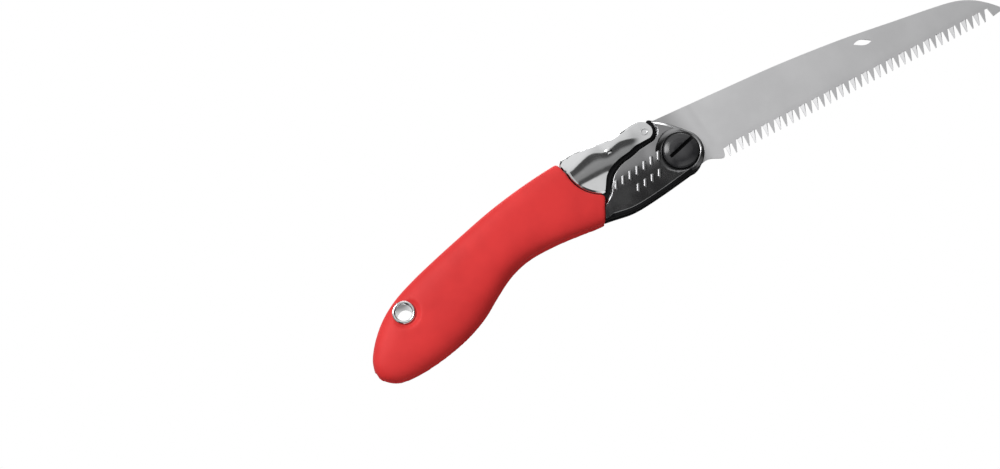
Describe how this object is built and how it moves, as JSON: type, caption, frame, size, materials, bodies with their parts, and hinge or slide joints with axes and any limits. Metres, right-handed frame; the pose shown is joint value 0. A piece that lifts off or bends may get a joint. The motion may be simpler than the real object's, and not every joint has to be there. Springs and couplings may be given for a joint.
{
  "type": "folding pull saw",
  "caption": "Folding hand pull saw with slender teeth, dark boxed bolster, slotted pivot bolt, sprung lock lever and curved rubber grip.",
  "frame": {"origin": "middle of the rubber hand grip, in the plane of the blade", "axes": "+X along the blade towards its tip, +Z towards the blade's spine (teeth face -Z), the slotted bolt head faces -Y"},
  "size_m": [0.3789, 0.0244, 0.063],
  "materials": {
    "blade_steel": "satin hard-chromed, cross-ground teeth",
    "chrome": "polished chrome plate",
    "black_plate": "glossy black nickel",
    "steel": "plain bright steel",
    "brass": "satin",
    "red_rubber": "fine matt rubber"
  },
  "bodies": {
    "handle": {"side_plate_near": "black_plate", "side_plate_far": "black_plate", "pivot_bolt": "black_plate", "pivot_nut": "black_plate", "spring_washer": "steel", "pivot_bush": "brass", "thrust_washer_near": "brass", "thrust_washer_far": "brass", "lever_pin": "chrome", "lever_spring": "steel", "frame_near": "steel", "frame_far": "steel", "back_spacer": "steel", "spring_seat": "steel", "seat_rivet": "steel", "stop_pin": "steel", "spine_rivet_front": "steel", "spine_rivet_rear": "steel", "rubber_grip": "red_rubber", "eyelet": "chrome"},
    "blade": {"blade": "blade_steel"},
    "lever": {"lock_lever": "chrome", "lock_pin": "chrome"}
  },
  "joints": [
    {"name": "blade_fold", "type": "hinge", "parent": "handle", "child": "blade", "pos_m": [0.11, 0, 0], "axis": [0, -1, 0], "range_deg": [-169, 0]},
    {"name": "lever_rock", "type": "hinge", "parent": "handle", "child": "lever", "pos_m": [0.0769, 0, 0.0173], "axis": [0, -1, 0], "range_deg": [0, 5], "stiffness_Nm_per_rad": 1.5, "springref_deg": -6.88, "deforming": ["lever_spring"]}
  ]
}
